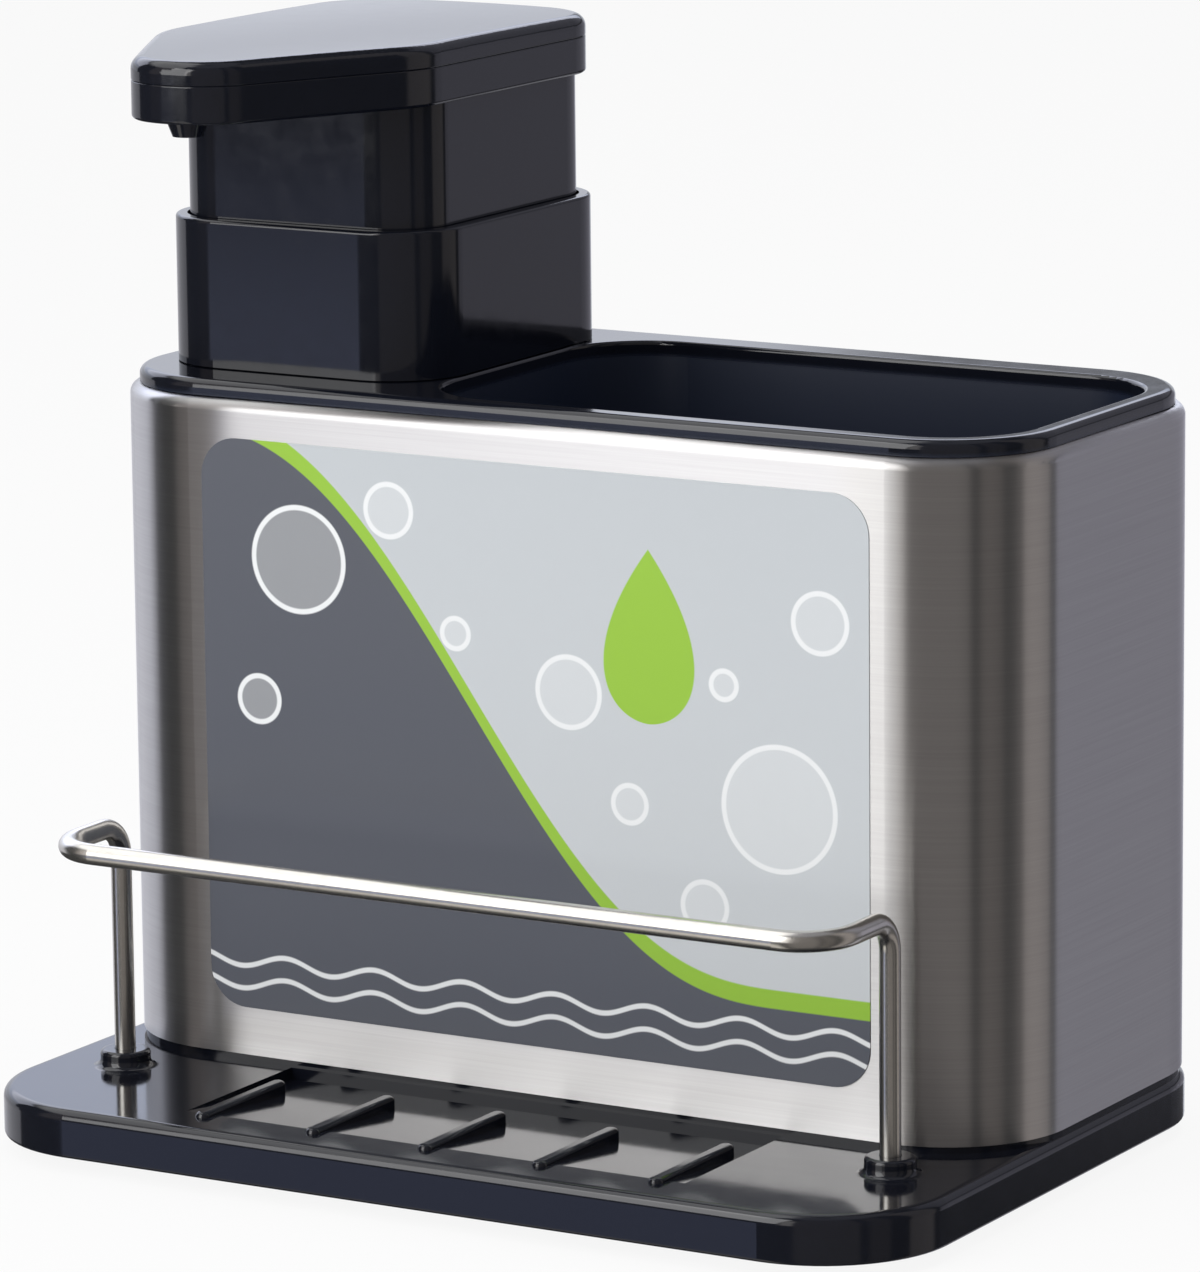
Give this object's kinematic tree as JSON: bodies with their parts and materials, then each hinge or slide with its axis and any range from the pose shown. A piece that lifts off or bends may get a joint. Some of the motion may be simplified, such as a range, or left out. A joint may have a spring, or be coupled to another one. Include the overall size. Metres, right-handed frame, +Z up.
{
  "type": "soap pump caddy",
  "caption": "Brushed steel sink caddy on a moulded base: lift-out liner with a tool bay, soap bottle with a press pump, and a wire rail that keeps a sponge on the drip tray in front.",
  "frame": {"origin": "on the floor, under the middle of the base tray", "axes": "+X along the box towards the tool bay, +Y to the back, away from the sponge tray, +Z up"},
  "size_m": [0.18, 0.128, 0.188],
  "materials": {
    "black_plastic": "glossy black",
    "brushed_sheet": "brushed along the box",
    "polished_wire": "polished",
    "plated_steel": "plated",
    "label_film": "printed film",
    "bottle_plastic": "translucent white",
    "pump_plastic": "natural white",
    "seal_rubber": "soft black",
    "foot_rubber": "matt black"
  },
  "bodies": {
    "stand": {"base_tray": "black_plastic", "steel_sleeve": "brushed_sheet", "sleeve_screws": "plated_steel", "front_label": "label_film", "foot_front_left": "foot_rubber", "foot_rear_left": "foot_rubber", "foot_front_right": "foot_rubber", "foot_rear_right": "foot_rubber"},
    "rail": {"guard_rail": "polished_wire"},
    "liner": {"inner_liner": "black_plastic"},
    "bottle": {"soap_bottle": "bottle_plastic"},
    "pump": {"pump_collar": "black_plastic", "bottle_gasket": "seal_rubber", "cylinder_gasket": "seal_rubber", "pump_cylinder": "pump_plastic", "cylinder_cap": "pump_plastic", "dip_tube": "pump_plastic", "return_spring": "plated_steel"},
    "plunger": {"plunger_sleeve": "black_plastic", "head_base": "black_plastic", "head_cover": "black_plastic", "pump_stem": "pump_plastic", "piston": "seal_rubber", "spout_tube": "pump_plastic", "nozzle": "black_plastic"},
    "inlet_valve": {"inlet_ball": "plated_steel"},
    "outlet_valve": {"outlet_ball": "plated_steel"}
  },
  "joints": [
    {"name": "rail_lift", "type": "slide", "parent": "stand", "child": "rail", "axis": [0, 0, 1], "range_m": [0, 0.012]},
    {"name": "liner_lift", "type": "slide", "parent": "stand", "child": "liner", "axis": [0, 0, 1], "range_m": [0, 0.115]},
    {"name": "bottle_lift", "type": "slide", "parent": "liner", "child": "bottle", "axis": [0, 0, 1], "range_m": [0, 0.115]},
    {"name": "pump_lift", "type": "slide", "parent": "bottle", "child": "pump", "axis": [0, 0, 1], "range_m": [0, 0.112]},
    {"name": "pump_press", "type": "slide", "parent": "pump", "child": "plunger", "axis": [0, 0, -1], "range_m": [0, 0.015], "stiffness_N_per_m": 600, "springref_m": -0.012, "deforming": ["return_spring"]},
    {"name": "inlet_ball_lift", "type": "slide", "parent": "pump", "child": "inlet_valve", "axis": [0, 0, 1], "range_m": [0, 0.0012]},
    {"name": "outlet_ball_lift", "type": "slide", "parent": "plunger", "child": "outlet_valve", "axis": [0, 0, 1], "range_m": [0, 0.0012]}
  ]
}
